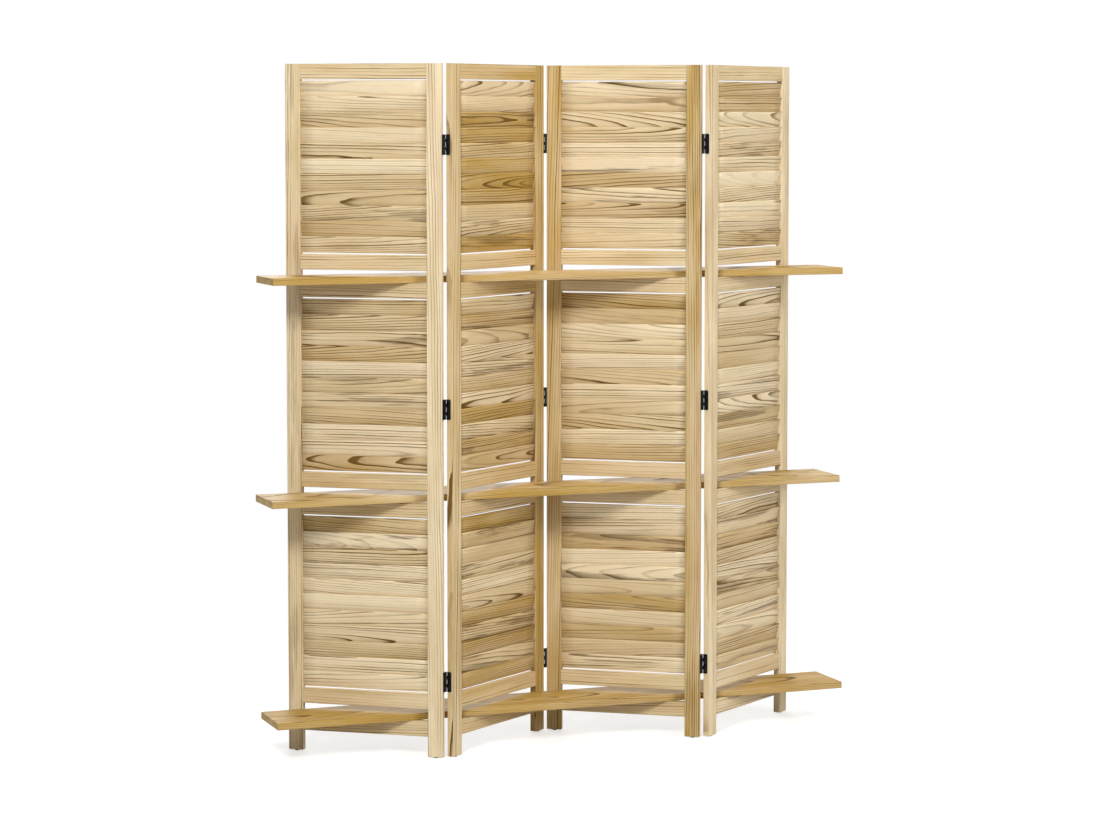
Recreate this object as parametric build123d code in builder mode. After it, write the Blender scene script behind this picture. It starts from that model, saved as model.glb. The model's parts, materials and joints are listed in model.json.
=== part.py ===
from build123d import *
from math import asin, atan2, cos, degrees, hypot, radians, sin
import os

# A four-panel louvered folding screen, stood in a zigzag, with three straight shelf
# boards pushed through slots in all four panels. Millimetres, +Z up. The origin is on
# the floor under the middle of the screen, X runs along the shelves and the front is -Y.

# Panels
panel_count = 4
panel_width = 400.0
panel_height = 1700.0
panel_thickness = 17.0
stile_width = 38.0
rail_height = 38.0
foot_height = 50.0            # lower edge of the bottom rail above the stile's end
edge_ease = 1.0               # eased long edges of stiles, rails and shelves

# Shelf slots: the height of each slot's lower rail edge above the stile's end
slot_height = 30.0
middle_slot_seat = 628.0
upper_slot_seat = 1166.0

# Stub tenons of the rails
tenon_length = 14.0
tenon_thickness = 6.0
tenon_shoulder = 6.0
tenon_clearance = 0.1
tenon_end_gap = 0.6

# Louver slats
slats_per_section = 11
slat_width = 41.0
slat_thickness = 5.0
slat_setback = 1.8            # from a panel's face to the nearest edge of a slat
slat_slit = 3.0               # open slit above the first and below the last slat
slat_seat_depth = 6.0         # how far each slat's end stands in its mortise
slat_clearance = 0.15

# The fold: half of the turn between neighbouring panels, counted from a flat screen
fold_half_angle = 35.5
fold_spare = 3.5              # how much flatter it can open before the shelves stop it

# Hinges
hinge_heights = (185.0, 857.0, 1503.0)
hinge_height = 50.0
hinge_gap = 4.7               # between the edges of two panels lying flat in line
pin_offset = 3.0              # from the panel's face out to the pin's axis
knuckle_radius = 2.7
knuckle_count = 5
knuckle_gap = 0.3
knuckle_clearance = 0.35
knuckle_sides = 12            # few flats keep the 45 small knuckles light
leaf_thickness = 1.2
leaf_cover = 12.2             # how much of the stile's edge a leaf covers
pin_radius = 1.1
pin_clearance = 0.35
pin_sides = 8                 # and the pins and bores hidden in them

# Glides under the stiles
glide_radius = 7.0
glide_height = 3.0
glide_taper = 18.0            # slope of the rim in degrees, narrower at the floor

# Shelves: length past the outermost panel corners, and how each one was pushed along
shelf_thickness = 17.0
shelf_overhang = 75.0
shelf_side_gap = 1.1          # between shelf and stile when the screen is at its flattest
shelf_rest_gap = 0.3
upper_shelf_shift = 0.0
middle_shelf_shift = -5.0
lower_shelf_shift = 5.0
panels_shift = 9.0            # the zigzag's middle stands right of the shelves' middle

# Heights above the stile's end that follow from the values above
opening_width = panel_width - 2 * stile_width
slot_seats = (foot_height + rail_height, middle_slot_seat, upper_slot_seat)
rail_bottoms = (
    foot_height,
    slot_seats[0] + slot_height,
    slot_seats[1] - rail_height,
    slot_seats[1] + slot_height,
    slot_seats[2] - rail_height,
    slot_seats[2] + slot_height,
    panel_height - rail_height,
)
louver_bays = {
    "lower": (rail_bottoms[1] + rail_height, rail_bottoms[2]),
    "middle": (rail_bottoms[3] + rail_height, rail_bottoms[4]),
    "upper": (rail_bottoms[5] + rail_height, rail_bottoms[6]),
}

# The slats tilt so far that they fill the panel's thickness, less the setback
slat_half_diagonal = hypot(slat_width, slat_thickness) / 2
slat_reach = panel_thickness / 2 - slat_setback
slat_tilt = degrees(asin(slat_reach / slat_half_diagonal) - atan2(slat_thickness, slat_width))
slat_rise = slat_width * cos(radians(slat_tilt)) + slat_thickness * sin(radians(slat_tilt))

# The zigzag: hinge axes alternate between the back and the front faces
fold = radians(fold_half_angle)
axis_along = panel_width / 2 + hinge_gap / 2
axis_across = panel_thickness / 2 + pin_offset
panel_step = 2 * (axis_along * cos(fold) + axis_across * sin(fold))
zigzag_length = (
    (panel_count - 1) * panel_step
    + panel_width * cos(fold)
    + panel_thickness * sin(fold)
)

# The shelves are as wide as the slots let them be when the screen is at its flattest
flattest = radians(fold_half_angle - fold_spare)
shelf_length = zigzag_length + 2 * shelf_overhang
shelf_width = 2 * (
    opening_width / 2 * sin(flattest)
    - panel_thickness / 2 * cos(flattest)
    - shelf_side_gap
)


def fold_direction(panel):
    """+1 where the panel runs front to back from left to right, -1 where it comes forward."""
    return 1 if panel % 2 == 0 else -1


def section_plane(panel, height=0.0):
    """Horizontal plane in a panel: X along its width, Y towards its back."""
    centre = panels_shift + (panel - (panel_count + 1) / 2) * panel_step
    turn = fold_direction(panel) * fold
    return Plane(
        origin=(centre, 0, glide_height + height),
        x_dir=(cos(turn), sin(turn), 0),
        z_dir=(0, 0, 1),
    )


def elevation_plane(panel):
    """Upright plane through a panel's middle: X along its width, Y up, facing the front."""
    base = section_plane(panel)
    return Plane(origin=base.origin, x_dir=base.x_dir, z_dir=-base.y_dir)


def profile_plane(panel, along=0.0):
    """Upright plane across a panel: X towards its back, Y up, facing its right end."""
    base = section_plane(panel)
    origin = base.from_local_coords(Vector(along, 0, 0))
    return Plane(origin=origin, x_dir=base.y_dir, z_dir=base.x_dir)


def hinge_on(panel, side):
    """Which face the hinge barrels stand at on this edge, +1 back, -1 front, 0 for none."""
    joint = panel if side > 0 else panel - 1
    if joint < 1 or joint >= panel_count:
        return 0
    return 1 if joint % 2 == 1 else -1


def save(builder, name):
    """Label a finished piece and write its file."""
    builder.part.label = name
    export_step(builder.part, f"parts/{name}.step")


os.makedirs("parts", exist_ok=True)
side_names = {-1: "left", 1: "right"}


# Stiles, with a tilted blind mortise for every slat and a blind mortise for every tenon
def make_stile(panel, side):
    inner_face = side * opening_width / 2
    with BuildPart() as stile:
        with BuildSketch(section_plane(panel)):
            with Locations((side * (panel_width - stile_width) / 2, 0)):
                Rectangle(stile_width, panel_thickness)
        extrude(amount=panel_height)
        long_edges = stile.edges().filter_by(Axis.Z)
        chamfer(long_edges, edge_ease)

        with BuildSketch(profile_plane(panel, inner_face)):
            for bottom in rail_bottoms:
                with Locations((0, bottom + rail_height / 2)):
                    Rectangle(
                        tenon_thickness + 2 * tenon_clearance,
                        rail_height - 2 * tenon_shoulder + 2 * tenon_clearance,
                    )
        extrude(amount=side * (tenon_length + tenon_end_gap), mode=Mode.SUBTRACT)

        with BuildSketch(profile_plane(panel, inner_face)):
            for low, high in louver_bays.values():
                pitch = (high - low - 2 * slat_slit - slat_rise) / (slats_per_section - 1)
                with Locations((0, (low + high) / 2)):
                    with GridLocations(1, pitch, 1, slats_per_section):
                        Rectangle(
                            slat_thickness + 2 * slat_clearance,
                            slat_width + 2 * slat_clearance,
                            rotation=slat_tilt,
                        )
        extrude(amount=side * (slat_seat_depth + slat_clearance), mode=Mode.SUBTRACT)
    save(stile, f"panel_{panel}_{side_names[side]}_stile")


# Rails, with a stub tenon at each end
def make_rails(panel, name, bottoms):
    with BuildPart() as rails:
        with BuildSketch(elevation_plane(panel)):
            for bottom in bottoms:
                with Locations((0, bottom + rail_height / 2)):
                    Rectangle(opening_width, rail_height)
        extrude(amount=panel_thickness / 2, both=True)
        along = Axis((0, 0, 0), section_plane(panel).x_dir)
        chamfer(rails.edges().filter_by(along), edge_ease)
        with BuildSketch(elevation_plane(panel)):
            for bottom in bottoms:
                with Locations((0, bottom + rail_height / 2)):
                    Rectangle(opening_width + 2 * tenon_length, rail_height - 2 * tenon_shoulder)
        extrude(amount=tenon_thickness / 2, both=True)
    save(rails, f"panel_{panel}_{name}")


# Louver slats, each seated in its two tilted mortises
def make_louvers(panel, bay):
    low, high = louver_bays[bay]
    pitch = (high - low - 2 * slat_slit - slat_rise) / (slats_per_section - 1)
    with BuildPart() as louvers:
        with BuildSketch(profile_plane(panel)):
            with Locations((0, (low + high) / 2)):
                with GridLocations(1, pitch, 1, slats_per_section):
                    Rectangle(slat_thickness, slat_width, rotation=slat_tilt)
        extrude(amount=opening_width / 2 + slat_seat_depth, both=True)
    save(louvers, f"panel_{panel}_{bay}_louvers")


# Glides, one under each stile, narrower at the floor than at the wood
def make_glides(panel):
    with BuildPart() as glides:
        with BuildSketch(section_plane(panel)):
            with GridLocations(panel_width - stile_width, 1, 2, 1):
                Circle(glide_radius)
        extrude(amount=-glide_height, taper=glide_taper)
    save(glides, f"panel_{panel}_glides")


# Hinge leaves: a plate on the stile's edge that carries its share of the knuckles
def make_leaves(panel, side, name):
    barrel = hinge_on(panel, side)
    axis = (side * axis_along, barrel * axis_across)
    plate_along = side * (panel_width + leaf_thickness) / 2
    plate_start = barrel * (panel_thickness / 2 - leaf_cover)
    plate_end = barrel * (axis_across - knuckle_radius - knuckle_clearance)
    knuckle_height = hinge_height / knuckle_count
    own_knuckles = range(0 if side > 0 else 1, knuckle_count, 2)
    with BuildPart() as leaves:
        for middle in hinge_heights:
            bottom = middle - hinge_height / 2
            with BuildSketch(section_plane(panel, bottom)):
                with Locations((plate_along, (plate_start + plate_end) / 2)):
                    Rectangle(leaf_thickness, abs(plate_end - plate_start))
            extrude(amount=hinge_height)
            for number in own_knuckles:
                start = bottom + number * knuckle_height + knuckle_gap / 2
                with BuildSketch(section_plane(panel, start)):
                    with Locations((plate_along, (plate_end + axis[1]) / 2)):
                        Rectangle(leaf_thickness, abs(axis[1] - plate_end))
                    with Locations(axis):
                        RegularPolygon(knuckle_radius, knuckle_sides)
                        RegularPolygon(
                            pin_radius + pin_clearance,
                            pin_sides,
                            major_radius=False,
                            mode=Mode.SUBTRACT,
                        )
                extrude(amount=knuckle_height - knuckle_gap)
    save(leaves, name)


# Hinge pins, one through the knuckles of each hinge
def make_pins(panel, name):
    barrel = hinge_on(panel, 1)
    with BuildPart() as pins:
        for middle in hinge_heights:
            with BuildSketch(section_plane(panel, middle - hinge_height / 2)):
                with Locations((axis_along, barrel * axis_across)):
                    RegularPolygon(pin_radius, pin_sides)
            extrude(amount=hinge_height)
    save(pins, name)


# Shelf boards, resting in the slots along the zigzag's middle line
def make_shelf(name, seat, shift):
    with BuildPart() as shelf:
        with BuildSketch(Plane.XY.offset(glide_height + seat + shelf_rest_gap)):
            with Locations((shift, 0)):
                Rectangle(shelf_length, shelf_width)
        extrude(amount=shelf_thickness)
        chamfer(shelf.edges().filter_by(Axis.X), edge_ease)
    save(shelf, name)


for panel in range(1, panel_count + 1):
    for side in (-1, 1):
        make_stile(panel, side)
    make_rails(panel, "top_rail", rail_bottoms[-1:])
    make_rails(panel, "shelf_rails", rail_bottoms[1:-1])
    make_rails(panel, "bottom_rail", rail_bottoms[:1])
    for bay in louver_bays:
        make_louvers(panel, bay)
    make_glides(panel)

make_shelf("upper_shelf", slot_seats[2], upper_shelf_shift)
make_shelf("middle_shelf", slot_seats[1], middle_shelf_shift)
make_shelf("lower_shelf", slot_seats[0], lower_shelf_shift)

for joint in range(1, panel_count):
    hinges = f"hinges_{joint}_{joint + 1}"
    make_leaves(joint, 1, f"{hinges}_left_leaves")
    make_leaves(joint + 1, -1, f"{hinges}_right_leaves")
    make_pins(joint, f"{hinges}_pins")
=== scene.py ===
# %% [markdown]
# # A louvered folding screen in bare wood
# The screen is four hinged panels that stand in a zigzag, with three shelf boards pushed
# through slots along its middle line. The solid model already gives every board, hinge and
# glide its size and place, so this script only dresses it: it makes each board a piece of
# wood with its own growth rings, rounds what a plane or a press would round, and lights it.
#
# Everything is in metres. X runs along the shelves, the front is -Y, and the floor is Z = 0.

# %% Load the solid model
import json
import math
import random

import bmesh
import bpy
from mathutils import Matrix, Vector

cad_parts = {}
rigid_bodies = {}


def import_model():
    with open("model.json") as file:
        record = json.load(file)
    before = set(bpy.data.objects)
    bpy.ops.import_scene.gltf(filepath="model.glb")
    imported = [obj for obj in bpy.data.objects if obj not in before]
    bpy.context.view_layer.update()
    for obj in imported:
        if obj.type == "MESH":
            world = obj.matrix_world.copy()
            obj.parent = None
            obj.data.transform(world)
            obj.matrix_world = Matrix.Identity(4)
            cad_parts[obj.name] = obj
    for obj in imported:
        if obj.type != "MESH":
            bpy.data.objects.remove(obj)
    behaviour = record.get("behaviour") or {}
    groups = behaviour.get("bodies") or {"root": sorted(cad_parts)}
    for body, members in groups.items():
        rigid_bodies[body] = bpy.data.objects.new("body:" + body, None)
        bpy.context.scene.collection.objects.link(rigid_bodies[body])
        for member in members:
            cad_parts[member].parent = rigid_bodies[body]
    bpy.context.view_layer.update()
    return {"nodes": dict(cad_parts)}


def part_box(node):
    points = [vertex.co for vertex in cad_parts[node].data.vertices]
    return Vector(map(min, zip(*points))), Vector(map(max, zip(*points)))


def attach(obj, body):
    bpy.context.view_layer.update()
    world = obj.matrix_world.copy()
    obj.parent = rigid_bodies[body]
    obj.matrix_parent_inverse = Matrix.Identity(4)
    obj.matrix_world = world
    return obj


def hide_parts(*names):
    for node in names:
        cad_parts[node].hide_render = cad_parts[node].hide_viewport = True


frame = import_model()

# %% [markdown]
# ## Where each panel stands
# Each panel is turned about its upright axis, to one side and then to the other. Its top rail
# is centred in it, and its two stiles lie in line with its width, so their boxes give the
# panel's centre and the direction of its width. All the later pieces are made in a panel's
# own frame: X along its width, Y to its back and Z up.

# %% Panel frames
PANELS = (1, 2, 3, 4)


def box_middle(node):
    low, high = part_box(node)
    return (low + high) / 2


def panel_frame(panel):
    """A matrix that takes a point of the panel's own frame to its place in the room."""
    across = box_middle(f"panel_{panel}_right_stile") - box_middle(f"panel_{panel}_left_stile")
    centre = box_middle(f"panel_{panel}_top_rail")
    turn = Matrix.Rotation(math.atan2(across.y, across.x), 4, "Z")
    return Matrix.Translation((centre.x, centre.y, 0)) @ turn


panel_frames = {panel: panel_frame(panel) for panel in PANELS}
for panel, place in panel_frames.items():
    print("panel", panel, "stands at", round(place.translation.x, 3), "turned",
          round(math.degrees(place.to_euler().z), 1), "degrees")

# %% [markdown]
# ## The camera
# The photograph was taken from the left with a long lens, at about the height of the top
# shelf board. A small shift keeps the uprights almost parallel.

# %% Camera
camera_place = Vector((-2.630, -6.925, 1.5755))
camera_turn = math.radians(20.656)    # to the right of straight ahead
camera_dip = math.radians(3.919)      # below level


def placed(name, data):
    """A new object that holds this data, linked to the scene."""
    item = bpy.data.objects.new(name, data)
    bpy.context.scene.collection.objects.link(item)
    return item


camera_data = bpy.data.cameras.new("studio_camera")
camera_data.sensor_width = 36.0
camera_data.lens = 96.76
camera_data.shift_y = -0.085
camera = placed("studio_camera", camera_data)
camera.location = camera_place
camera.rotation_euler = (math.pi / 2 - camera_dip, 0, -camera_turn)
bpy.context.scene.camera = camera
print("camera stands", round(camera_place.xy.length, 2), "metres off")

# %% [markdown]
# ## A small language for node trees
# Both the wood and the repeated pieces are node trees, and a tree that is written node by
# node is hard to read. A `Wire` holds one socket, and sums and products of wires add Math
# nodes, so that a recipe for wood reads like a formula.

# %% Wires
class Wire:
    """One output socket. Arithmetic on it adds Math nodes to its bench."""

    def __init__(self, bench, socket):
        self.bench = bench
        self.socket = socket

    def __add__(self, other):
        return self.bench.math("ADD", self, other)

    def __sub__(self, other):
        return self.bench.math("SUBTRACT", self, other)

    def __rsub__(self, other):
        return self.bench.math("SUBTRACT", other, self)

    def __mul__(self, other):
        return self.bench.math("MULTIPLY", self, other)

    def __truediv__(self, other):
        return self.bench.math("DIVIDE", self, other)

    def __rtruediv__(self, other):
        return self.bench.math("DIVIDE", other, self)

    __radd__ = __add__
    __rmul__ = __mul__


# %% [markdown]
# A `Bench` holds one tree. Its `add` makes any node in a single call, from the node's type,
# its settings and the values or wires of its sockets. The other methods are short names for
# the nodes that come up again and again.

# %% Benches
class Bench:
    """A node tree with one call for any node."""

    def __init__(self, tree):
        self.tree = tree

    def add(self, kind, settings=None, sockets=None, out=0):
        node = self.tree.nodes.new(kind)
        for name, value in (settings or {}).items():
            setattr(node, name, value)
        for name, value in (sockets or {}).items():
            self.feed(node.inputs[name], value)
        return Wire(self, node.outputs[out]) if node.outputs else None

    def feed(self, socket, value):
        if isinstance(value, Wire):
            self.tree.links.new(value.socket, socket)
        else:
            socket.default_value = value

    def other(self, wire, out):
        """Another output of the node that a wire comes from."""
        return Wire(self, wire.socket.node.outputs[out])

    def math(self, operation, *values):
        return self.add("ShaderNodeMath", {"operation": operation}, dict(enumerate(values)))

    def split(self, vector):
        x = self.add("ShaderNodeSeparateXYZ", None, {0: vector})
        return x, self.other(x, 1), self.other(x, 2)

    def join(self, x, y, z):
        return self.add("ShaderNodeCombineXYZ", None, {0: x, 1: y, 2: z})

    def clamp(self, value):
        return self.add("ShaderNodeClamp", None, {0: value})

    def rise(self, value, low, high):
        """0 below low, 1 above high and a smooth rise between them."""
        return self.add("ShaderNodeMapRange", {"interpolation_type": "SMOOTHSTEP"},
                        {0: value, 1: low, 2: high})

    def mix(self, share, first, second):
        settings = {"data_type": "RGBA", "blend_type": "MIX"}
        return self.add("ShaderNodeMix", settings, {0: share, 6: first, 7: second}, out=2)

    def noise(self, place, detail=2.0, roughness=0.5):
        return self.add("ShaderNodeTexNoise", None,
                        {"Vector": place, "Scale": 1.0, "Detail": detail, "Roughness": roughness})

    def bump(self, height, distance, strength):
        return self.add("ShaderNodeBump", None,
                        {"Height": height, "Distance": distance, "Strength": strength})


def new_material(name):
    """A material with its bench and its main shader."""
    material = bpy.data.materials.new(name)
    material.use_nodes = True
    return material, Bench(material.node_tree), material.node_tree.nodes["Principled BSDF"]


# %% [markdown]
# ## Bare wood
# A board is cut from a log, and its figure is where the log's growth rings meet its faces.
# So the material keeps a log and not a picture: every board carries an attribute, `grain`,
# that says where in a log each of its points was. Its X is the place along the log, and its
# Y and Z are the distances from the log's heart. The distance from the heart, bent a little
# by noise, gives the ring. A board cut beside the heart then shows straight lines, and one
# cut above it shows arches, on all its faces and at its ends alike.
#
# Three more attributes make boards differ: `tone` from pale to brown, `figure` for how strong
# the rings are, and `stain` for how much dark heartwood runs through it.

# %% The wood material
CREAM = (0.840, 0.700, 0.470, 1.0)
STRAW = (0.435, 0.268, 0.056, 1.0)
RING_BROWN = (0.150, 0.078, 0.010, 1.0)
HEART_BROWN = (0.085, 0.040, 0.004, 1.0)
BLUSH = (0.640, 0.470, 0.310, 1.0)
RIPPLE = 0.0020          # how far the rings tremble, in metres, besides their slow bend
FIBRE_RELIEF = 0.0004    # how deep the fibres stand, in metres


def bare_wood(name, ring_width, ring_strength, clouds, bend=0.013):
    """Bare wood, read from the attributes grain, tone, figure and stain. bend is how far, in
    metres, the rings wander off a true circle, and clouds how much the tone drifts in a board."""
    material, bench, shader = new_material(name)
    grain = bench.add("ShaderNodeAttribute", {"attribute_name": "grain"}, out="Vector")
    tone = bench.add("ShaderNodeAttribute", {"attribute_name": "tone"}, out="Fac")
    figure = bench.add("ShaderNodeAttribute", {"attribute_name": "figure"}, out="Fac")
    stain = bench.add("ShaderNodeAttribute", {"attribute_name": "stain"}, out="Fac")
    along, across, through = bench.split(grain)

    def streaks(lengthwise, sideways, **more):
        """Noise with so many swings in a metre, lengthwise and sideways in the log."""
        place = bench.join(along * lengthwise, across * sideways, through * sideways)
        return bench.noise(place, **more)

    # The distance from the heart, counted in rings of uneven width.
    sway = streaks(2.6, 13.0) - 0.5
    ripple = streaks(11.0, 60.0) - 0.5
    square = across * across + through * through
    radius = bench.math("SQRT", square) + sway * bend + ripple * RIPPLE
    uneven = bench.noise(bench.join(radius * 55.0, along * 0.02, 0.0)) - 0.5
    ring = radius / ring_width + uneven * 1.8
    year = bench.math("FRACT", ring)
    season = bench.add("ShaderNodeTexWhiteNoise", {"noise_dimensions": "1D"},
                       {"W": bench.math("FLOOR", ring)})

    # Late wood darkens over the last third of a year and stops at once in spring. Some years
    # and some stretches of a board show it more than others.
    late = bench.rise(year, 0.68, 0.95) * (1.0 - bench.rise(year, 0.97, 1.0))
    dusk = year * year
    patch = bench.rise(streaks(5.0, 28.0), 0.32, 0.62)
    strength = (season * season * 0.80 + 0.20) * (patch * 0.65 + 0.35)
    strength = strength * figure * (tone * 0.60 + 0.85) * ring_strength
    rings = late * strength + dusk * strength * 0.30

    # Clouds shift the tone, fibres and pores give the fine lines that run along the board.
    cloud = streaks(3.5, 24.0, detail=3.0) - 0.5
    fibre = streaks(22.0, 950.0, detail=3.0) - 0.5
    pore = streaks(75.0, 1500.0, detail=1.0)
    pores = bench.rise(pore, 0.60, 0.72) * (late * 0.6 + 0.25)

    # From cream to straw by tone, with a pinkish flush, then the rings and pores over it.
    colour = bench.mix(bench.clamp(tone + cloud * clouds), CREAM, STRAW)
    drift = bench.noise(bench.join(along * 1.1 + 40.0, across * 16.0, through * 9.0))
    flush = bench.rise(drift, 0.45, 0.75)
    colour = bench.mix(flush * 0.35, colour, BLUSH)
    colour = bench.mix(bench.clamp(rings), colour, RING_BROWN)
    colour = bench.mix(pores * 0.30, colour, RING_BROWN)

    # Streaks of dark heartwood, in the boards that have any.
    flow = bench.join(along * 2.4 + 9.0, across * 42.0, through * 42.0)
    vein = bench.noise(flow, detail=4.0, roughness=0.6)
    heart = bench.rise(vein, 0.53, 0.60) * stain * (dusk * 0.55 + 0.45)
    colour = bench.mix(heart * 0.92, colour, HEART_BROWN)
    colour = bench.add("ShaderNodeHueSaturation", None,
                       {"Value": fibre * 0.20 + 1.0, "Color": colour})

    relief = fibre * 0.6 - pores * 0.5 - late * 0.25
    bench.feed(shader.inputs["Base Color"], colour)
    bench.feed(shader.inputs["Roughness"], 0.60 + fibre * 0.16 + rings * 0.08)
    bench.feed(shader.inputs["Normal"], bench.bump(relief, FIBRE_RELIEF, 0.5))
    shader.inputs["Specular IOR Level"].default_value = 0.30
    return material


# %% [markdown]
# ### Four kinds of board from one recipe
# The slats have the strongest rings. Stiles and rails are calmer, and the shelf boards
# calmest, with rings that hardly bend, so that their wide faces stay quiet. A separate
# material for each also lets a later user repaint only one kind.

# %% Slat, rail, stile and shelf wood
slat_wood = bare_wood("slat_wood", ring_width=0.0056, ring_strength=2.00, clouds=0.90)
rail_wood = bare_wood("rail_wood", ring_width=0.0068, ring_strength=1.45, clouds=1.00)
stile_wood = bare_wood("stile_wood", ring_width=0.0064, ring_strength=1.80, clouds=1.15)
shelf_wood = bare_wood("shelf_wood", ring_width=0.0042, ring_strength=1.15, clouds=0.95,
                       bend=0.005)
print("a wood material has", len(slat_wood.node_tree.nodes), "nodes")

# %% [markdown]
# ## Taking the solids apart
# One node of the solid model can hold several boards, such as all the shelf rails of a panel,
# and each of them should be its own piece of wood. So a copy of a node is merged, and its
# vertices are sorted into one list for each closed solid.

# %% Merged copies and single solids
FLAT_ANGLE = math.radians(0.5)    # faces that meet at less than this are one face


def merged_copy(node):
    """A bmesh of a node's solids, with its loose triangles joined and its flat faces whole."""
    shape = bmesh.new()
    shape.from_mesh(frame["nodes"][node].data)
    bmesh.ops.remove_doubles(shape, verts=shape.verts, dist=1e-6)
    bmesh.ops.dissolve_limit(shape, angle_limit=FLAT_ANGLE, verts=shape.verts,
                             edges=shape.edges)
    return shape


def solids_of(shape):
    """The vertices of a bmesh, as one list for each solid, from the lowest to the highest."""
    left, solids = set(shape.verts), []
    while left:
        found = [left.pop()]
        for vert in found:
            near = {edge.other_vert(vert) for edge in vert.link_edges} & left
            left -= near
            found.extend(near)
        solids.append(found)
    return sorted(solids, key=lambda verts: min(v.co.z for v in verts))


rails_shape = merged_copy("panel_1_shelf_rails")
print("panel 1 has", len(solids_of(rails_shape)), "shelf rails")
rails_shape.free()

# %% [markdown]
# ## Sawing boards from the log
# A board that was sawn flat, near the middle of the log, shows arches. One cut well beside the
# heart shows the straight lines that a stile is chosen for, because such a board stays
# straight. No log grows quite straight, so each board also leans a little off it, and that
# is what draws the arches out into long tongues.

# %% A place in the log
random.seed(20)


def cut_from_log(flat):
    """Where in a log a board was cut: a shift of its points and how far it leans off the log.
    flat is the share of boards that are sawn near the middle."""
    if random.random() < flat:
        beside = random.uniform(-0.012, 0.012)
    else:
        beside = random.uniform(0.035, 0.095) * random.choice((-1, 1))
    above = random.uniform(0.018, 0.060)
    shift = Vector((random.uniform(0, 60), beside, above))
    rise = random.uniform(0.022, 0.050) * random.choice((-1, 1))
    lean = Vector((0, random.uniform(-0.02, 0.02), rise))
    return shift, lean


# %% [markdown]
# ## Dressing one board
# The boards already have their mortises, tenons and planed edges in the solid model, so a
# copy of each only gets its four attributes. Its long edges are planed at 45 degrees, and
# weighted normals make those narrow faces shade as one rounded edge.

# %% A dressed board
SHARP_ANGLE = math.radians(60)


def as_mesh(name, shape):
    """A mesh from a bmesh, which is freed."""
    mesh = bpy.data.meshes.new(name)
    shape.to_mesh(mesh)
    shape.free()
    return mesh


def board(node, material, place, axes, flat, tone, figure, stain):
    """A dressed copy of a node. axes gives the frame's letters for along, across and through."""
    shape = merged_copy(node)
    to_panel = place.inverted()
    order = ["XYZ".index(letter) for letter in axes]
    layers = {name: shape.verts.layers.float.new(name) for name in ("tone", "figure", "stain")}
    grain = shape.verts.layers.float_vector.new("grain")
    for verts in solids_of(shape):
        shift, lean = cut_from_log(flat)
        values = {
            "tone": tone + random.uniform(-0.10, 0.10),
            "figure": figure * random.uniform(0.7, 1.2),
            "stain": stain * random.random(),
        }
        for vert in verts:
            local = to_panel @ vert.co
            point = Vector([local[i] for i in order])
            vert[grain] = point + shift + lean * point.x
            for name, layer in layers.items():
                vert[layer] = values[name]
    for edge in shape.edges:
        if edge.calc_face_angle(0) > SHARP_ANGLE:
            edge.smooth = False
    for face in shape.faces:
        face.smooth = True
    mesh = as_mesh(f"{node}_board", shape)
    mesh.materials.append(material)
    piece = placed(f"{node}_board", mesh)
    piece.modifiers.new("edge_light", "WEIGHTED_NORMAL").keep_sharp = True
    return piece


# %% [markdown]
# ## Stiles, rails and shelf boards
# The stiles differ in tone one by one, and the rails and slats panel by panel. Each finished
# piece rides on its body and takes the place of the plain node, so that it moves with the
# panel. It shares one material with the rest of its kind, so it can be repainted with them.

# %% Dress the boards
STILE_TONES = {
    "panel_1_left_stile": 0.42, "panel_1_right_stile": 0.12,
    "panel_2_left_stile": 0.55, "panel_2_right_stile": 0.72,
    "panel_3_left_stile": 0.76, "panel_3_right_stile": 0.72,
    "panel_4_left_stile": 0.25, "panel_4_right_stile": 0.16,
}
PANEL_TONES = {1: 0.20, 2: 0.56, 3: 0.24, 4: 0.12}


def settle(piece, body, slot, *nodes):
    """Let a finished piece ride on its body and stand for its nodes. slot is not used."""
    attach(piece, body)
    if nodes:
        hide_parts(*nodes)
    return piece


for node, tone in STILE_TONES.items():
    panel = int(node.split("_")[1])
    piece = board(node, stile_wood, panel_frames[panel], "ZXY",
                  flat=0.15, tone=tone, figure=0.9, stain=0.45)
    settle(piece, f"panel_{panel}", "stile_wood", node)

for panel in PANELS:
    for rails in ("bottom_rail", "shelf_rails", "top_rail"):
        node = f"panel_{panel}_{rails}"
        piece = board(node, rail_wood, panel_frames[panel], "XZY",
                      flat=0.8, tone=PANEL_TONES[panel] * 0.7 + 0.28, figure=0.85, stain=0.3)
        settle(piece, f"panel_{panel}", "rail_wood", node)

for node in ("lower_shelf", "middle_shelf", "upper_shelf"):
    piece = board(node, shelf_wood, Matrix.Identity(4), "XYZ",
                  flat=1.0, tone=0.90, figure=0.95, stain=0.15)
    settle(piece, node, "shelf_wood", node)

dressed = [item for item in bpy.data.objects if item.name.endswith("_board")]
print("board pieces made:", len(dressed))

# %% [markdown]
# ## Louver slats
# A panel holds 33 slats, and they differ only in their wood, in a hair of tilt and in a
# slight bow. So one slat is modelled with rounded edges, and a Geometry Nodes tree repeats it
# up the panel. The slat is cut across in a few places, because a bar with points only at its
# ends could not be bowed.

# %% One slat
slat_width = 0.041
slat_thickness = 0.005
slat_ease = 0.0012
slat_stations = 8
ease_arcs = 3


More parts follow.
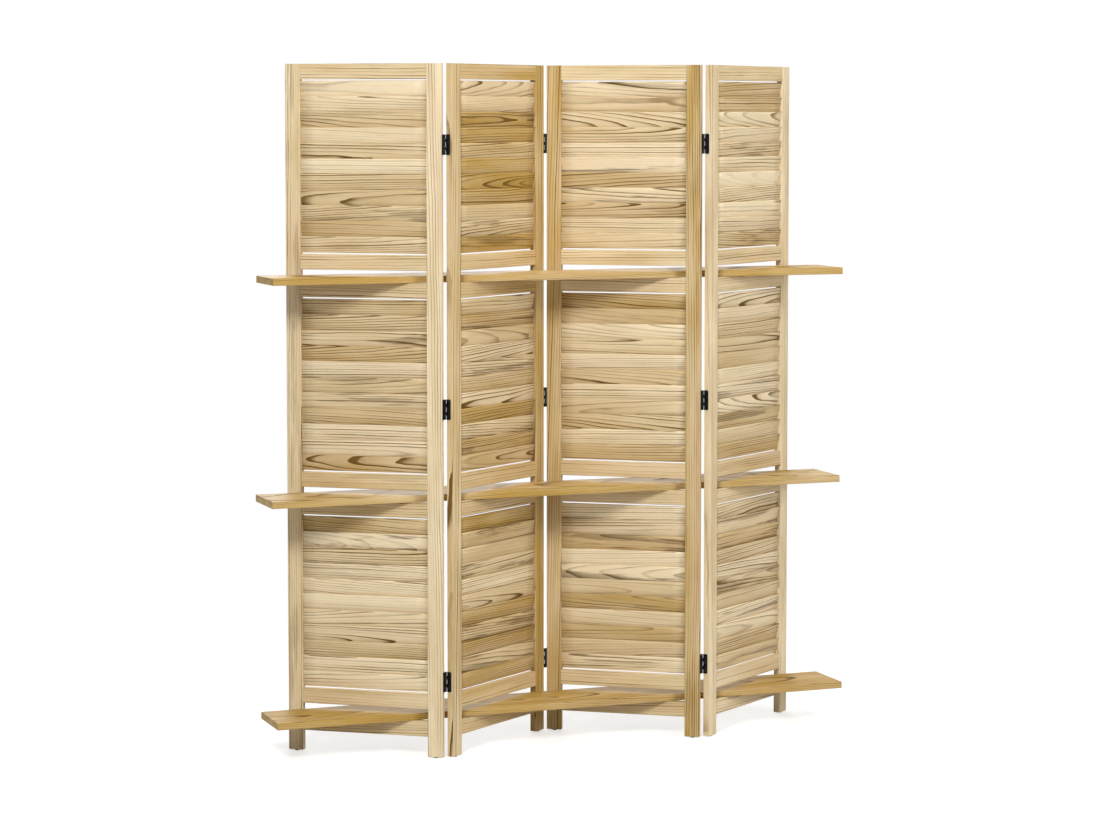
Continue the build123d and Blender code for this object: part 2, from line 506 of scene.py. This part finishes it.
def slat_bar(length):
    """A bar along X, width along Z and thickness along Y, with rounded long edges."""
    section = []
    for corner in range(4):
        y = (slat_thickness / 2 - slat_ease) * (1, -1, -1, 1)[corner]
        z = (slat_width / 2 - slat_ease) * (1, 1, -1, -1)[corner]
        for step in range(ease_arcs + 1):
            angle = math.pi / 2 * (corner + step / ease_arcs)
            section.append((y + slat_ease * math.cos(angle), z + slat_ease * math.sin(angle)))
    shape = bmesh.new()
    rings = []
    for station in range(slat_stations + 1):
        x = length * (station / slat_stations - 0.5)
        rings.append([shape.verts.new((x, y, z)) for y, z in section])
    count = len(section)
    for first, second in zip(rings, rings[1:]):
        for i in range(count):
            j = (i + 1) % count
            shape.faces.new((first[i], first[j], second[j], second[i]))
    shape.faces.new(rings[0][::-1])
    shape.faces.new(rings[-1])
    bmesh.ops.recalc_face_normals(shape, faces=shape.faces)
    for face in shape.faces:
        face.smooth = len(face.verts) == 4
    return as_mesh("bar", shape)


# %% [markdown]
# ### Beginning and ending a geometry tree
# Both trees of this script begin with named inputs for their sizes. Both end in the same way:
# the copies, already made real, are turned and moved with their panel and get their material.

# %% Opening and closing a tree
def open_tree(name, kinds):
    """A bench for a new geometry tree, the wire of its geometry and one for each input."""
    tree = bpy.data.node_groups.new(name, "GeometryNodeTree")
    tree.interface.new_socket("Geometry", in_out="INPUT", socket_type="NodeSocketGeometry")
    tree.interface.new_socket("Geometry", in_out="OUTPUT", socket_type="NodeSocketGeometry")
    for label, kind in kinds.items():
        tree.interface.new_socket(label, in_out="INPUT", socket_type=kind)
    bench = Bench(tree)
    given = bench.add("NodeGroupInput")
    return bench, given, {label: bench.other(given, label) for label in kinds}


def close_tree(bench, copies, centre, turn, material):
    """Turn and move real copies with their panel, give them a material and send them out."""
    copies = bench.add("GeometryNodeTransform", None,
                       {"Geometry": copies, "Translation": centre,
                        "Rotation": bench.join(0.0, 0.0, turn)})
    copies = bench.add("GeometryNodeSetMaterial", None,
                       {"Geometry": copies, "Material": material})
    bench.add("NodeGroupOutput", None, {0: copies})
    return bench.tree


# %% [markdown]
# ### The row of slats
# The tree first stores on the slat where each of its points lies, because those places become
# the wood's grain. A Mesh Line gives one point for each slat, and all the random values are
# stored on those points, so that every copy inherits its own. After Realize Instances the
# copies are bowed and moved to their place in a log, each to another one. The seed is an
# input, so the same screen comes out every time.

# %% The tree that repeats the slats
LOUVER_INPUTS = {
    "Count": "NodeSocketInt", "First Height": "NodeSocketFloat", "Pitch": "NodeSocketFloat",
    "Length": "NodeSocketFloat", "Tilt": "NodeSocketFloat", "Tone": "NodeSocketFloat",
    "Centre": "NodeSocketVector", "Turn": "NodeSocketFloat", "Seed": "NodeSocketInt",
    "Wood": "NodeSocketMaterial",
}


def louver_tree():
    bench, slat, value = open_tree("louver_row", LOUVER_INPUTS)

    def store(geometry, name, data, kind="FLOAT"):
        settings = {"data_type": kind, "domain": "POINT"}
        return bench.add("GeometryNodeStoreNamedAttribute", settings,
                         {"Geometry": geometry, "Name": name, "Value": data})

    def read(name, kind="FLOAT"):
        return bench.add("GeometryNodeInputNamedAttribute", {"data_type": kind}, {"Name": name})

    def chance(low, high, draw):
        """A random value for each slat. Every draw has its own number."""
        return bench.add("FunctionNodeRandomValue", {"data_type": "FLOAT"},
                         {2: low, 3: high, "Seed": value["Seed"] + draw}, out=1)

    # One point for each slat, with the slat's random values on it.
    slat = store(slat, "grain", bench.add("GeometryNodeInputPosition"), "FLOAT_VECTOR")
    start = bench.join(0.0, 0.0, value["First Height"])
    step = bench.join(0.0, 0.0, value["Pitch"])
    row = bench.add("GeometryNodeMeshLine", {"mode": "OFFSET"},
                    {"Count": value["Count"], "Start Location": start, "Offset": step})
    beside = chance(-0.085, 0.085, 11)
    above = chance(0.016, 0.062, 12)
    row = store(row, "shift", bench.join(chance(0.0, 60.0, 13), beside, above), "FLOAT_VECTOR")
    lean = bench.join(0.0, chance(-0.030, 0.030, 14), chance(-0.07, 0.07, 15))
    row = store(row, "lean", lean, "FLOAT_VECTOR")
    row = store(row, "tone", value["Tone"] + chance(-0.42, 0.52, 16))
    row = store(row, "figure", chance(0.25, 1.25, 17))
    row = store(row, "stain", bench.rise(chance(0.0, 1.0, 18), 0.55, 1.0))
    row = store(row, "bow", chance(-0.0006, 0.0006, 19))

    # The copies, tilted and made real.
    angle = value["Tilt"] + chance(-0.012, 0.012, 20)
    slats = bench.add("GeometryNodeInstanceOnPoints", None,
                      {"Points": row, "Instance": slat, "Rotation": bench.join(angle, 0.0, 0.0)})
    slats = bench.add("GeometryNodeRealizeInstances", None, {"Geometry": slats})

    # A bow that is widest in the middle, and the place in the log.
    along, thick, wide = bench.split(read("grain", "FLOAT_VECTOR"))
    middle = along / value["Length"] * 2.0
    bulge = (1.0 - middle * middle) * read("bow")
    slats = bench.add("GeometryNodeSetPosition", None,
                      {"Geometry": slats, "Offset": bench.join(0.0, bulge, 0.0)})
    lean = bench.add("ShaderNodeVectorMath", {"operation": "SCALE"},
                     {0: read("lean", "FLOAT_VECTOR"), "Scale": along})
    moved = bench.add("ShaderNodeVectorMath", {"operation": "ADD"},
                      {0: bench.join(along, wide, thick), 1: read("shift", "FLOAT_VECTOR")})
    moved = bench.add("ShaderNodeVectorMath", {"operation": "ADD"}, {0: moved, 1: lean})
    slats = store(slats, "grain", moved, "FLOAT_VECTOR")
    return close_tree(bench, slats, value["Centre"], value["Turn"], value["Wood"])


louver_row = louver_tree()
print("the slat tree has", len(louver_row.nodes), "nodes")

# %% [markdown]
# ### From a tree to a plain mesh
# The export keeps only real geometry, so the result of a tree is turned into a plain mesh and
# the object that carried the modifier is removed. A modifier's input is set by its socket's
# identifier, before the object is first evaluated.

# %% Grow a piece from a tree
def grown(name, mesh, tree, **inputs):
    """A plain mesh piece, made by a tree from a mesh. Names in inputs have _ for a space."""
    seed = placed(f"{name}_seed", mesh)
    modifier = seed.modifiers.new("nodes", "NODES")
    modifier.node_group = tree
    for item in tree.interface.items_tree:
        key = item.name.replace(" ", "_").lower()
        if item.in_out == "INPUT" and key in inputs:
            modifier[item.identifier] = inputs[key]
    bpy.context.view_layer.update()
    depsgraph = bpy.context.evaluated_depsgraph_get()
    made = bpy.data.meshes.new_from_object(seed.evaluated_get(depsgraph))
    bpy.data.objects.remove(seed)
    return placed(name, made)


# %% [markdown]
# ### Slats in every bay
# Each panel has three bays of slats. The count, the heights, the length and the tilt are all
# measured from the solid slats: a tilted slat reaches further from front to back than its
# thickness, and that reach gives its angle.

# %% Fill the panels with slats
slat_diagonal = math.hypot(slat_width, slat_thickness)
slat_corner = math.atan2(slat_thickness, slat_width)

for panel in PANELS:
    place = panel_frames[panel]
    for number, bay in enumerate(("lower", "middle", "upper")):
        node = f"panel_{panel}_{bay}_louvers"
        local = [place.inverted() @ vert.co for vert in frame["nodes"][node].data.vertices]
        length = max(p.x for p in local) - min(p.x for p in local)
        reach = max(p.y for p in local) - min(p.y for p in local)
        tilt = math.asin(reach / slat_diagonal) - slat_corner
        shape = merged_copy(node)
        heights = [(min(v.co.z for v in verts) + max(v.co.z for v in verts)) / 2
                   for verts in solids_of(shape)]
        shape.free()
        piece = grown(
            f"{node}_slats", slat_bar(length), louver_row,
            count=len(heights), first_height=heights[0],
            pitch=(heights[-1] - heights[0]) / (len(heights) - 1), length=length, tilt=tilt,
            tone=PANEL_TONES[panel], centre=place.translation, turn=place.to_euler().z,
            seed=100 * panel + 10 * number + 3, wood=slat_wood,
        )
        settle(piece, f"panel_{panel}", "slat_wood", node)
print("a slat is tilted", round(math.degrees(tilt), 1), "degrees")

# %% [markdown]
# ## Hardware at points
# Hinges, screws and glides are repeated by a second tree. It puts one modelled part at each
# of the points it is given, in a panel's own frame, and can spin it about X, so that no two
# screws stop at the same angle.

# %% The tree that repeats hardware
HARDWARE_INPUTS = {
    "Part": "NodeSocketObject", "Centre": "NodeSocketVector", "Turn": "NodeSocketFloat",
    "Spin": "NodeSocketFloat", "Seed": "NodeSocketInt", "Finish": "NodeSocketMaterial",
}


def hardware_tree():
    bench, points, value = open_tree("hardware_at_points", HARDWARE_INPUTS)
    part = bench.add("GeometryNodeObjectInfo", None, {"Object": value["Part"]}, out="Geometry")
    spin = bench.add("FunctionNodeRandomValue", {"data_type": "FLOAT"},
                     {2: 0.0, 3: value["Spin"], "Seed": value["Seed"]}, out=1)
    copies = bench.add("GeometryNodeInstanceOnPoints", None,
                       {"Points": points, "Instance": part,
                        "Rotation": bench.join(spin, 0.0, 0.0)})
    copies = bench.add("GeometryNodeRealizeInstances", None, {"Geometry": copies})
    return close_tree(bench, copies, value["Centre"], value["Turn"], value["Finish"])


hardware_row = hardware_tree()
print("the hardware tree has", len(hardware_row.nodes), "nodes")


def repeated(name, part_mesh, points, panel, finish, spin=0.0):
    """The part at every point of a panel's own frame, as one piece."""
    part = placed(f"{name}_part", part_mesh)
    spots = bpy.data.meshes.new(f"{name}_spots")
    spots.from_pydata(points, [], [])
    place = panel_frames[panel]
    piece = grown(name, spots, hardware_row, part=part, centre=place.translation,
                  turn=place.to_euler().z, spin=spin, seed=7 * panel, finish=finish)
    bpy.data.objects.remove(part)
    return piece


# %% [markdown]
# ## Turning and pressing
# Small hardware is made in two ways. Pins, knuckles and glides are turned, so they come from
# a profile that is spun about an upright line. Leaves are pressed from sheet, so they come
# from a box with softened edges, and the corners that show are rounded more.

# %% Turned and pressed shapes
corner_round = 0.0016
corner_steps = 5


def finished_mesh(name, shape, smooth_angle=35):
    """A mesh from a bmesh, faces outward, smooth but for its sharp edges."""
    bmesh.ops.recalc_face_normals(shape, faces=shape.faces)
    for face in shape.faces:
        face.smooth = True
    for edge in shape.edges:
        edge.smooth = edge.calc_face_angle(0) < math.radians(smooth_angle)
    return as_mesh(name, shape)


def turned(shape, profile, centre, segments=32, closed=False):
    """Turn a profile of (radius, height) about an upright line through centre."""
    rings = []
    for radius, height in profile:
        angles = [math.tau * i / segments for i in range(segments if radius else 1)]
        spots = [Vector((radius * math.cos(a), radius * math.sin(a), height)) for a in angles]
        rings.append([shape.verts.new(centre + spot) for spot in spots])
    for first, second in zip(rings, rings[1:] + rings[:1] if closed else rings[1:]):
        for i in range(segments):
            j = (i + 1) % segments
            corners = [first[i % len(first)], first[j % len(first)]]
            corners += [second[j % len(second)], second[i % len(second)]]
            shape.faces.new(list(dict.fromkeys(corners)))


def slab(shape, low, high, bevel, rounded=()):
    """A box with softened edges. rounded lists the corners (y, z) to round more."""
    made = bmesh.ops.create_cube(shape, size=1.0)["verts"]
    size, middle = high - low, (high + low) / 2
    for vert in made:
        vert.co = Vector([vert.co[i] * size[i] + middle[i] for i in range(3)])
    edges = {edge for vert in made for edge in vert.link_edges}
    corners = []
    for edge in edges:
        first, second = (vert.co for vert in edge.verts)
        at_corner = any(abs(first.y - y) < 1e-4 and abs(first.z - z) < 1e-4 for y, z in rounded)
        if at_corner and abs((first - second).normalized().x) > 0.9:
            corners.append(edge)
    if corners:
        eased = bmesh.ops.bevel(shape, geom=corners, offset=corner_round,
                                segments=corner_steps, affect="EDGES")
        made = eased["verts"] + made
    edges = {edge for vert in made if vert.is_valid for edge in vert.link_edges}
    sharp = [edge for edge in edges if edge.calc_face_angle(0) > SHARP_ANGLE]
    bmesh.ops.bevel(shape, geom=sharp, offset=bevel, segments=2, affect="EDGES")


# %% [markdown]
# ## A hinge leaf
# A butt hinge has five knuckles on one line. One leaf carries three of them and the other the
# two between, rolled round from the same sheet. A leaf lies on the narrow edge of its panel
# and a short neck leads from its plate to each knuckle. The line of the knuckles stands a
# little proud of the panel's face, so that the panels can fold face to face.

# %% Hinge leaves
panel_width = 0.400
panel_thickness = 0.017
leaf_height = 0.050
leaf_thickness = 0.0012
leaf_cover = 0.0122       # how far the plate reaches in over the panel's edge
leaf_ease = 0.00018
knuckles = 5
knuckle_radius = 0.0027
knuckle_gap = 0.00015     # left free at either end of a knuckle
knuckle_rim = 0.00025
plate_stop = 0.00035      # left free between plate and knuckle
neck_overlap = 0.0004     # how far a neck starts inside the plate
neck_depth = 0.00135      # where it ends, before the line of the knuckles
neck_ease = 0.0001
bore_radius = 0.0014
pin_radius = 0.0011
axis_along = panel_width / 2 + 0.00235
axis_across = panel_thickness / 2 + 0.003


def leaf_mesh(side, barrel):
    """One leaf about the middle of its hinge, on the panel's side -1 or 1, with the knuckles
    at its front (-1) or back (1)."""
    shape = bmesh.new()
    inner, outer = sorted((side * panel_width / 2, side * (panel_width / 2 + leaf_thickness)))
    far = barrel * (panel_thickness / 2 - leaf_cover)
    near = barrel * (axis_across - knuckle_radius - plate_stop)
    y0, y1 = sorted((far, near))
    half = leaf_height / 2
    slab(shape, Vector((inner, y0, -half)), Vector((outer, y1, half)), leaf_ease,
         rounded=[(far, -half), (far, half)])
    knuckle = leaf_height / knuckles
    centre = Vector((side * axis_along, barrel * axis_across, 0))
    neck = sorted((near - barrel * neck_overlap, barrel * (axis_across - neck_depth)))
    for number in range(0 if side > 0 else 1, knuckles, 2):
        low = -half + number * knuckle + knuckle_gap
        high = low + knuckle - 2 * knuckle_gap
        profile = [
            (bore_radius, low), (knuckle_radius - knuckle_rim, low),
            (knuckle_radius, low + knuckle_rim), (knuckle_radius, high - knuckle_rim),
            (knuckle_radius - knuckle_rim, high), (bore_radius, high),
        ]
        turned(shape, profile, centre, closed=True)
        slab(shape, Vector((inner, neck[0], low)), Vector((outer, neck[1], high)), neck_ease)
    return finished_mesh("hinge_leaf", shape)


# %% [markdown]
# ## Pins and screws
# The pin is a plain rod with domed ends. A screw's head shows only its shallow dome and the
# cross in it, so the head is one round grid: its cells are pressed down where the cross is,
# and a short skirt closes it below.

# %% Hinge pins and screw heads
pin_dome = 0.0004
dome_steps = 4
screw_radius = 0.0024
screw_cells = 20
screw_dome = 0.00022
screw_skirt = 0.0004
cross_depth = 0.0007
cross_half_width = 0.16    # as a share of the head's radius
cross_reach = 0.56         # as a share of the head's radius


def pin_mesh():
    shape = bmesh.new()
    half = leaf_height / 2
    dome = []
    for step in range(dome_steps + 1):
        angle = math.pi / 2 * step / dome_steps
        dome.append((pin_radius * math.sin(angle), half - pin_dome * (1 - math.cos(angle))))
    profile = dome + [(radius, -height) for radius, height in reversed(dome)]
    turned(shape, profile, Vector((0, 0, 0)), segments=24)
    return finished_mesh("hinge_pin", shape)


def open_rim(shape):
    """The vertices of the open rim of a bmesh, in order."""
    edge = next(e for e in shape.edges if e.is_boundary)
    start = vert = edge.verts[0]
    while True:
        yield vert
        vert = edge.other_vert(vert)
        if vert is start:
            return
        edge = next(e for e in vert.link_edges if e.is_boundary and e is not edge)


def screw_mesh(side):
    """The head of a countersunk screw with a cross recess, on a line along X."""
    shape = bmesh.new()
    grid = {}
    for i in range(screw_cells + 1):
        for j in range(screw_cells + 1):
            u, v = 2 * i / screw_cells - 1, 2 * j / screw_cells - 1
            y, z = u * math.sqrt(1 - v * v / 2), v * math.sqrt(1 - u * u / 2)
            height = screw_dome * (1 - y * y - z * z)
            if min(abs(u), abs(v)) < cross_half_width and max(abs(u), abs(v)) < cross_reach:
                height -= cross_depth
            grid[i, j] = shape.verts.new((side * height, y * screw_radius, z * screw_radius))
    for i in range(screw_cells):
        for j in range(screw_cells):
            shape.faces.new((grid[i, j], grid[i + 1, j], grid[i + 1, j + 1], grid[i, j + 1]))
    rim = [edge for edge in shape.edges if edge.is_boundary]
    skirt = bmesh.ops.extrude_edge_only(shape, edges=rim)["geom"]
    for vert in [item for item in skirt if isinstance(item, bmesh.types.BMVert)]:
        vert.co.x -= side * screw_skirt
    shape.faces.new(list(open_rim(shape)))
    return finished_mesh("screw_head", shape)


# %% [markdown]
# ## Black metal and grey plastic
# The hinges are pressed steel with a thin black finish, rubbed a little paler in places. The
# glides under the feet are grey plastic discs. Both finishes wander between two colours and
# two kinds of gloss, because no real surface has the same shine all over.

# %% Finishes of the hardware
def speckled(name, dark, pale, grain_size, roughness, metal):
    """A finish that wanders between two colours and two kinds of gloss, with grain_size
    swings in a metre."""
    material, bench, shader = new_material(name)
    x, y, z = bench.split(bench.add("ShaderNodeTexCoord", None, None, out="Object"))
    coarse = bench.noise(bench.join(x * grain_size, y * grain_size, z * grain_size), detail=4.0)
    finer = grain_size * 9.0
    fine = bench.noise(bench.join(x * finer, y * finer, z * finer))
    wear = bench.rise(coarse + fine * 0.3, 0.62, 0.86)
    bench.feed(shader.inputs["Base Color"], bench.mix(wear, dark, pale))
    bench.feed(shader.inputs["Roughness"], wear * (roughness[1] - roughness[0]) + roughness[0])
    bench.feed(shader.inputs["Normal"], bench.bump(fine, 0.0001, 0.25))
    shader.inputs["Metallic"].default_value = metal
    return material


hinge_metal = speckled("hinge_metal", (0.005, 0.005, 0.006, 1.0), (0.040, 0.038, 0.035, 1.0),
                       grain_size=240.0, roughness=(0.36, 0.52), metal=0.6)
glide_plastic = speckled("glide_plastic", (0.085, 0.082, 0.078, 1.0), (0.130, 0.126, 0.120, 1.0),
                         grain_size=160.0, roughness=(0.45, 0.62), metal=0.0)
print("a hardware finish has", len(hinge_metal.node_tree.nodes), "nodes")

# %% [markdown]
# ## Hinges at the three joints
# Each joint has three hinges, at the heights of the solid pins. The zigzag folds one way at
# the outer joints and the other way at the middle one, so the knuckles stand at the back of
# the outer joints and at the front of the middle one. The pins and the left leaves ride on
# the panel to the left, and the right leaves on the panel to the right, so that the hinges
# open with the screen.

# %% Hang the panels
screw_step = 0.016    # above and below the middle of a leaf

for joint in (1, 2, 3):
    barrel = -1 if joint == 2 else 1
    node = f"hinges_{joint}_{joint + 1}_pins"
    shape = merged_copy(node)
    heights = [min(vert.co.z for vert in verts) + leaf_height / 2 for verts in solids_of(shape)]
    shape.free()
    spots = [(axis_along, barrel * axis_across, height) for height in heights]
    piece = repeated(f"{node}_turned", pin_mesh(), spots, joint, hinge_metal)
    settle(piece, f"panel_{joint}", "hinge_metal", node)
    for panel, side, hand in ((joint, 1, "left"), (joint + 1, -1, "right")):
        node = f"hinges_{joint}_{joint + 1}_{hand}_leaves"
        spots = [(0, 0, height) for height in heights]
        piece = repeated(f"{node}_pressed", leaf_mesh(side, barrel), spots, panel, hinge_metal)
        settle(piece, f"panel_{panel}", "hinge_metal", node)
        screw_x = side * (panel_width / 2 + leaf_thickness)
        screw_y = barrel * (panel_thickness / 2 - leaf_cover / 2)
        spots = [(screw_x, screw_y, height + step)
                 for height in heights for step in (-screw_step, screw_step)]
        piece = repeated(f"{node}_screws", screw_mesh(side), spots, panel, hinge_metal,
                         spin=math.pi)
        settle(piece, f"panel_{panel}", "hinge_metal")
print("hinge heights at the last joint", [round(height, 3) for height in heights])

# %% [markdown]
# ## Glides under the feet
# A glide is a small disc that is nailed under a stile, so that the end grain doesn't stand on
# a wet floor or scratch it. It is turned from one profile, widest just under the wood.

# %% Put glides under the feet
GLIDE_PROFILE = (    # radius and height
    (0, 0), (0.0052, 0), (0.0060, 0.0004), (0.0068, 0.0022),
    (0.0070, 0.0027), (0.0069, 0.0030), (0, 0.0030),
)


def glide_mesh():
    shape = bmesh.new()
    turned(shape, GLIDE_PROFILE, Vector((0, 0, 0)), segments=40)
    return finished_mesh("glide", shape, smooth_angle=50)


for panel in PANELS:
    spots = []
    for side in ("left", "right"):
        low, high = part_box(f"panel_{panel}_{side}_stile")
        spot = panel_frames[panel].inverted() @ ((low + high) / 2)
        spots.append((spot.x, spot.y, 0))
    piece = repeated(f"panel_{panel}_glides_moulded", glide_mesh(), spots, panel, glide_plastic)
    settle(piece, f"panel_{panel}", "glide_plastic", f"panel_{panel}_glides")
print("glides under each panel:", len(spots))

# %% [markdown]
# ## Studio floor
# The floor and the space behind are plain white, so that the bare wood is the only colour.
# Near the screen the floor shows the camera a light of its own over a matt white, which
# leaves the soft shadow. Further out it fades to a plain bright white, so that no line shows
# where it ends.

# %% Floor
WHITE = (1.0, 1.0, 1.0, 1.0)
FLOOR_MATT = (0.62, 0.62, 0.62, 1.0)
floor_glow = 0.62
fade_start, fade_end = 1.0, 2.1    # distances from the middle of the screen
floor_reach = 40.0


def seen_by_camera(bench):
    """1 for what the camera sees, also by way of a mirror or a window, and 0 for lighting."""
    path = bench.add("ShaderNodeLightPath")
    seen = bench.math("MAXIMUM", path, bench.other(path, "Is Glossy Ray"))
    return bench.math("MAXIMUM", seen, bench.other(path, "Is Transmission Ray"))


def studio_floor():
    material, bench, _ = new_material("studio_white")
    matt = bench.add("ShaderNodeBsdfDiffuse", None, {"Color": FLOOR_MATT})
    glow = bench.add("ShaderNodeEmission", None, {"Color": WHITE, "Strength": floor_glow})
    near = bench.add("ShaderNodeAddShader", None, {0: matt, 1: glow})
    bare = bench.add("ShaderNodeEmission", None, {"Color": WHITE, "Strength": 1.0})
    place = bench.add("ShaderNodeTexCoord", None, None, out="Object")
    reach = bench.add("ShaderNodeVectorMath", {"operation": "LENGTH"}, {0: place}, out="Value")
    shown = bench.add("ShaderNodeMixShader", None,
                      {0: bench.rise(reach, fade_start, fade_end), 1: near, 2: bare})
    surface = bench.add("ShaderNodeMixShader", None, {0: seen_by_camera(bench), 1: matt, 2: shown})
    bench.feed(material.node_tree.nodes["Material Output"].inputs["Surface"], surface)
    shape = bmesh.new()
    bmesh.ops.create_grid(shape, x_segments=8, y_segments=8, size=floor_reach)
    mesh = as_mesh("studio_floor", shape)
    mesh.materials.append(material)
    floor = placed("studio_floor", mesh)


studio_floor()

# %% [markdown]
# ## World and lamps
# The camera sees a bright white world, but the wood is lit by a dim one, so that the shadows
# under the slats and boards keep their depth. Big soft lamps stand to the left and right of
# the camera, one hangs above and one lights the back.

# %% World and lamps
world_light = 0.24
world_shown = 1.0


def studio_world():
    world = bpy.data.worlds.new("studio_world")
    bpy.context.scene.world = world
    world.use_nodes = True
    bench = Bench(world.node_tree)
    dim = bench.add("ShaderNodeBackground", None, {"Color": WHITE, "Strength": world_light})
    bright = bench.add("ShaderNodeBackground", None, {"Color": WHITE, "Strength": world_shown})
    surface = bench.add("ShaderNodeMixShader", None, {0: seen_by_camera(bench), 1: dim, 2: bright})
    bench.feed(world.node_tree.nodes["World Output"].inputs["Surface"], surface)


def soft_lamp(name, place, aim, size, power):
    data = bpy.data.lights.new(name, "AREA")
    data.shape = "RECTANGLE"
    data.size, data.size_y = size
    data.energy = power
    lamp = placed(name, data)
    lamp.location = place
    lamp.rotation_euler = (Vector(aim) - Vector(place)).to_track_quat("-Z", "Y").to_euler()


studio_world()
soft_lamp("key_lamp", (-2.8, -4.1, 3.6), (0.0, 0.0, 0.9), (1.2, 1.2), 190.0)
soft_lamp("fill_lamp", (3.4, -4.0, 2.0), (0.0, 0.0, 0.8), (1.8, 2.2), 112.0)
soft_lamp("top_lamp", (0.3, -0.9, 4.3), (0.0, 0.0, 0.8), (2.4, 1.0), 55.0)
soft_lamp("back_lamp", (0.8, 4.6, 2.6), (0.0, 0.0, 0.9), (3.0, 2.0), 100.0)
bpy.context.scene.view_settings.view_transform = "Standard"
print("lamps:", len(bpy.data.lights))
